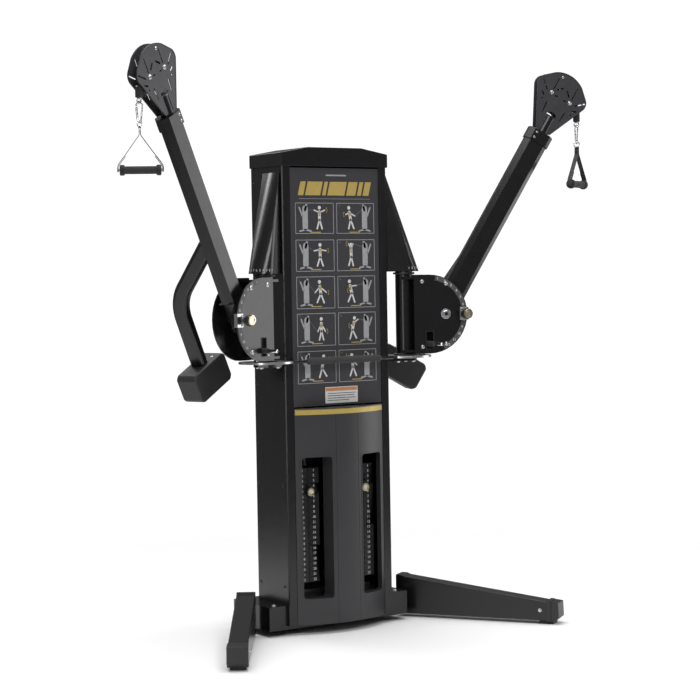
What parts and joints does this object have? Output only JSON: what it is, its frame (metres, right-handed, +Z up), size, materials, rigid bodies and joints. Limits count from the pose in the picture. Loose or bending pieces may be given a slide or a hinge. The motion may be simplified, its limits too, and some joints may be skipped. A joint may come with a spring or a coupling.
{
  "type": "cable crossover machine",
  "caption": "Free-standing gym tower with weight stacks, an exercise placard and a swivelling, tilting pulley arm with a cable handle on each side.",
  "frame": {"origin": "centre of the bounding box, on the floor", "axes": "+Z up, -Y towards the user in front of the placard, +X towards the machine right arm as seen from the front"},
  "size_m": [2.5992, 0.9489, 2.6812],
  "materials": {
    "black_paint": "satin",
    "charcoal_paint": "satin",
    "silver": "brushed",
    "chrome": "polished",
    "weight_grey": "matt",
    "rubber": "matt",
    "cable": "satin",
    "nylon": "satin",
    "webbing": "woven"
  },
  "bodies": {
    "tower": {"main_frame": "black_paint", "left_leg": "black_paint", "right_leg": "black_paint", "left_front_foot": "rubber", "right_front_foot": "rubber", "rear_foot": "rubber", "left_side_panel": "black_paint", "right_side_panel": "black_paint", "back_panel": "black_paint", "front_panel": "charcoal_paint", "front_shroud": "charcoal_paint", "top_cap": "black_paint", "left_swivel_cover": "black_paint", "right_swivel_cover": "black_paint", "left_index_plate": "silver", "right_index_plate": "silver", "grab_bar": "rubber", "guide_rods": "chrome", "left_weight_stack": "weight_grey", "right_weight_stack": "weight_grey", "left_tower_cable": "cable", "right_tower_cable": "cable"},
    "left_lift": {"left_lifted_plates": "weight_grey", "left_lift_cable": "cable"},
    "left_pin": {"left_selector_pin": "nylon"},
    "left_inner_sheave": {"left_inner_top_sheave": "nylon"},
    "left_outer_sheave": {"left_outer_top_sheave": "nylon"},
    "left_swivel": {"left_swivel_frame": "black_paint"},
    "left_tilt_knob": {"left_tilt_pin": "nylon"},
    "left_lever": {"left_swivel_lever": "chrome"},
    "left_arm": {"left_arm_tube": "black_paint", "left_counterweight_bar": "black_paint", "left_counterweight": "weight_grey"},
    "left_head": {"left_head_housing": "black_paint", "left_arm_cable": "cable"},
    "left_wheel_in": {"left_inner_wheel": "nylon"},
    "left_wheel_out": {"left_outer_wheel": "nylon"},
    "left_stop": {"left_cable_stop": "rubber"},
    "left_hook": {"left_snap_hook": "chrome"},
    "left_handle": {"left_handle_strap": "webbing"},
    "left_grip": {"left_handle_grip": "rubber"},
    "right_lift": {"right_lifted_plates": "weight_grey", "right_lift_cable": "cable"},
    "right_pin": {"right_selector_pin": "nylon"},
    "right_inner_sheave": {"right_inner_top_sheave": "nylon"},
    "right_outer_sheave": {"right_outer_top_sheave": "nylon"},
    "right_swivel": {"right_swivel_frame": "black_paint"},
    "right_tilt_knob": {"right_tilt_pin": "nylon"},
    "right_lever": {"right_swivel_lever": "chrome"},
    "right_arm": {"right_arm_tube": "black_paint", "right_counterweight_bar": "black_paint", "right_counterweight": "weight_grey"},
    "right_head": {"right_head_housing": "black_paint", "right_arm_cable": "cable"},
    "right_wheel_in": {"right_inner_wheel": "nylon"},
    "right_wheel_out": {"right_outer_wheel": "nylon"},
    "right_stop": {"right_cable_stop": "rubber"},
    "right_hook": {"right_snap_hook": "chrome"},
    "right_handle": {"right_handle_strap": "webbing"},
    "right_grip": {"right_handle_grip": "rubber"}
  },
  "joints": [
    {"name": "left_weight_lift", "type": "slide", "parent": "tower", "child": "left_lift", "axis": [0, 0, 1], "range_m": [0, 0.9], "deforming": ["left_lift_cable"]},
    {"name": "left_selector_pin_slide", "type": "slide", "parent": "left_lift", "child": "left_pin", "axis": [0, 1, 0], "range_m": [-0.06, 0]},
    {"name": "left_inner_sheave_spin", "type": "hinge", "parent": "tower", "child": "left_inner_sheave", "pos_m": [-0.21893, 0.20145, 1.83], "axis": [-0.4778, 0.8785, 0], "continuous": true},
    {"name": "left_outer_sheave_spin", "type": "hinge", "parent": "tower", "child": "left_outer_sheave", "pos_m": [-0.38239, 0.11255, 1.83], "axis": [-0.4778, 0.8785, 0], "continuous": true},
    {"name": "left_swivel_turn", "type": "hinge", "parent": "tower", "child": "left_swivel", "pos_m": [-0.42016, 0.092, 1.5], "axis": [0, 0, 1], "range_deg": [0, 60]},
    {"name": "left_tilt_knob_pull", "type": "slide", "parent": "left_swivel", "child": "left_tilt_knob", "axis": [0.3486, -0.9373, 0], "range_m": [0, 0.015], "stiffness_N_per_m": 600},
    {"name": "left_lever_lift", "type": "slide", "parent": "left_swivel", "child": "left_lever", "axis": [0, 0, 1], "range_m": [0, 0.04], "stiffness_N_per_m": 400},
    {"name": "left_arm_tilt", "type": "hinge", "parent": "left_swivel", "child": "left_arm", "pos_m": [-0.59543, 0.02682, 1.483], "axis": [-0.3486, 0.9373, 0], "range_deg": [-115, 11.5]},
    {"name": "left_head_turn", "type": "hinge", "parent": "left_arm", "child": "left_head", "pos_m": [-1.01957, -0.13092, 2.35227], "axis": [-0.4328, -0.161, 0.887], "range_deg": [-45, 45]},
    {"name": "left_inner_wheel_spin", "type": "hinge", "parent": "left_head", "child": "left_wheel_in", "pos_m": [-1.07504, -0.15155, 2.58076], "axis": [-0.3486, 0.9373, 0], "continuous": true},
    {"name": "left_outer_wheel_spin", "type": "hinge", "parent": "left_head", "child": "left_wheel_out", "pos_m": [-1.16317, -0.18432, 2.53181], "axis": [-0.3486, 0.9373, 0], "continuous": true},
    {"name": "left_cable_swing", "type": "hinge", "parent": "left_head", "child": "left_stop", "pos_m": [-1.16317, -0.18432, 2.53181], "axis": [-0.3486, 0.9373, 0], "range_deg": [-11.5, 115], "deforming": ["left_arm_cable"]},
    {"name": "left_hook_swing", "type": "hinge", "parent": "left_stop", "child": "left_hook", "pos_m": [-1.20347, -0.19931, 2.41881], "axis": [-0.9373, -0.3486, 0], "range_deg": [-25, 25]},
    {"name": "left_handle_swing", "type": "hinge", "parent": "left_hook", "child": "left_handle", "pos_m": [-1.20347, -0.19931, 2.33881], "axis": [-0.3486, 0.9373, 0], "range_deg": [-30, 30]},
    {"name": "left_grip_spin", "type": "hinge", "parent": "left_handle", "child": "left_grip", "pos_m": [-1.20347, -0.19931, 2.13781], "axis": [-0.8942, 0.4478, 0], "continuous": true},
    {"name": "right_weight_lift", "type": "slide", "parent": "tower", "child": "right_lift", "axis": [0, 0, 1], "range_m": [0, 0.9], "deforming": ["right_lift_cable"]},
    {"name": "right_selector_pin_slide", "type": "slide", "parent": "right_lift", "child": "right_pin", "axis": [0, 1, 0], "range_m": [-0.06, 0]},
    {"name": "right_inner_sheave_spin", "type": "hinge", "parent": "tower", "child": "right_inner_sheave", "pos_m": [0.16661, 0.20145, 1.83], "axis": [0.4778, 0.8785, 0], "continuous": true},
    {"name": "right_outer_sheave_spin", "type": "hinge", "parent": "tower", "child": "right_outer_sheave", "pos_m": [0.33007, 0.11255, 1.83], "axis": [0.4778, 0.8785, 0], "continuous": true},
    {"name": "right_swivel_turn", "type": "hinge", "parent": "tower", "child": "right_swivel", "pos_m": [0.36784, 0.092, 1.5], "axis": [0, 0, -1], "range_deg": [0, 60]},
    {"name": "right_tilt_knob_pull", "type": "slide", "parent": "right_swivel", "child": "right_tilt_knob", "axis": [-0.3486, -0.9373, 0], "range_m": [0, 0.015], "stiffness_N_per_m": 600},
    {"name": "right_lever_lift", "type": "slide", "parent": "right_swivel", "child": "right_lever", "axis": [0, 0, 1], "range_m": [0, 0.04], "stiffness_N_per_m": 400},
    {"name": "right_arm_tilt", "type": "hinge", "parent": "right_swivel", "child": "right_arm", "pos_m": [0.54311, 0.02682, 1.483], "axis": [-0.3486, -0.9373, 0], "range_deg": [-115, 11.5]},
    {"name": "right_head_turn", "type": "hinge", "parent": "right_arm", "child": "right_head", "pos_m": [1.01069, -0.14707, 2.32653], "axis": [0.4771, -0.1774, 0.8607], "range_deg": [-45, 45]},
    {"name": "right_inner_wheel_spin", "type": "hinge", "parent": "right_head", "child": "right_wheel_in", "pos_m": [1.07766, -0.17198, 2.55148], "axis": [0.3486, 0.9373, 0], "continuous": true},
    {"name": "right_outer_wheel_spin", "type": "hinge", "parent": "right_head", "child": "right_wheel_out", "pos_m": [1.16318, -0.20378, 2.49752], "axis": [0.3486, 0.9373, 0], "continuous": true},
    {"name": "right_cable_swing", "type": "hinge", "parent": "right_head", "child": "right_stop", "pos_m": [1.16318, -0.20378, 2.49752], "axis": [-0.3486, -0.9373, 0], "range_deg": [-11.5, 115], "deforming": ["right_arm_cable"]},
    {"name": "right_hook_swing", "type": "hinge", "parent": "right_stop", "child": "right_hook", "pos_m": [1.20348, -0.21877, 2.38452], "axis": [0.9373, -0.3486, 0], "range_deg": [-25, 25]},
    {"name": "right_handle_swing", "type": "hinge", "parent": "right_hook", "child": "right_handle", "pos_m": [1.20348, -0.21877, 2.30452], "axis": [0.3486, 0.9373, 0], "range_deg": [-30, 30]},
    {"name": "right_grip_spin", "type": "hinge", "parent": "right_handle", "child": "right_grip", "pos_m": [1.20348, -0.21877, 2.10352], "axis": [0.8942, 0.4478, 0], "continuous": true}
  ],
  "couplings": [
    {"joint": "left_cable_swing", "follows": "left_arm_tilt", "ratio": -1},
    {"joint": "right_cable_swing", "follows": "right_arm_tilt", "ratio": -1}
  ]
}
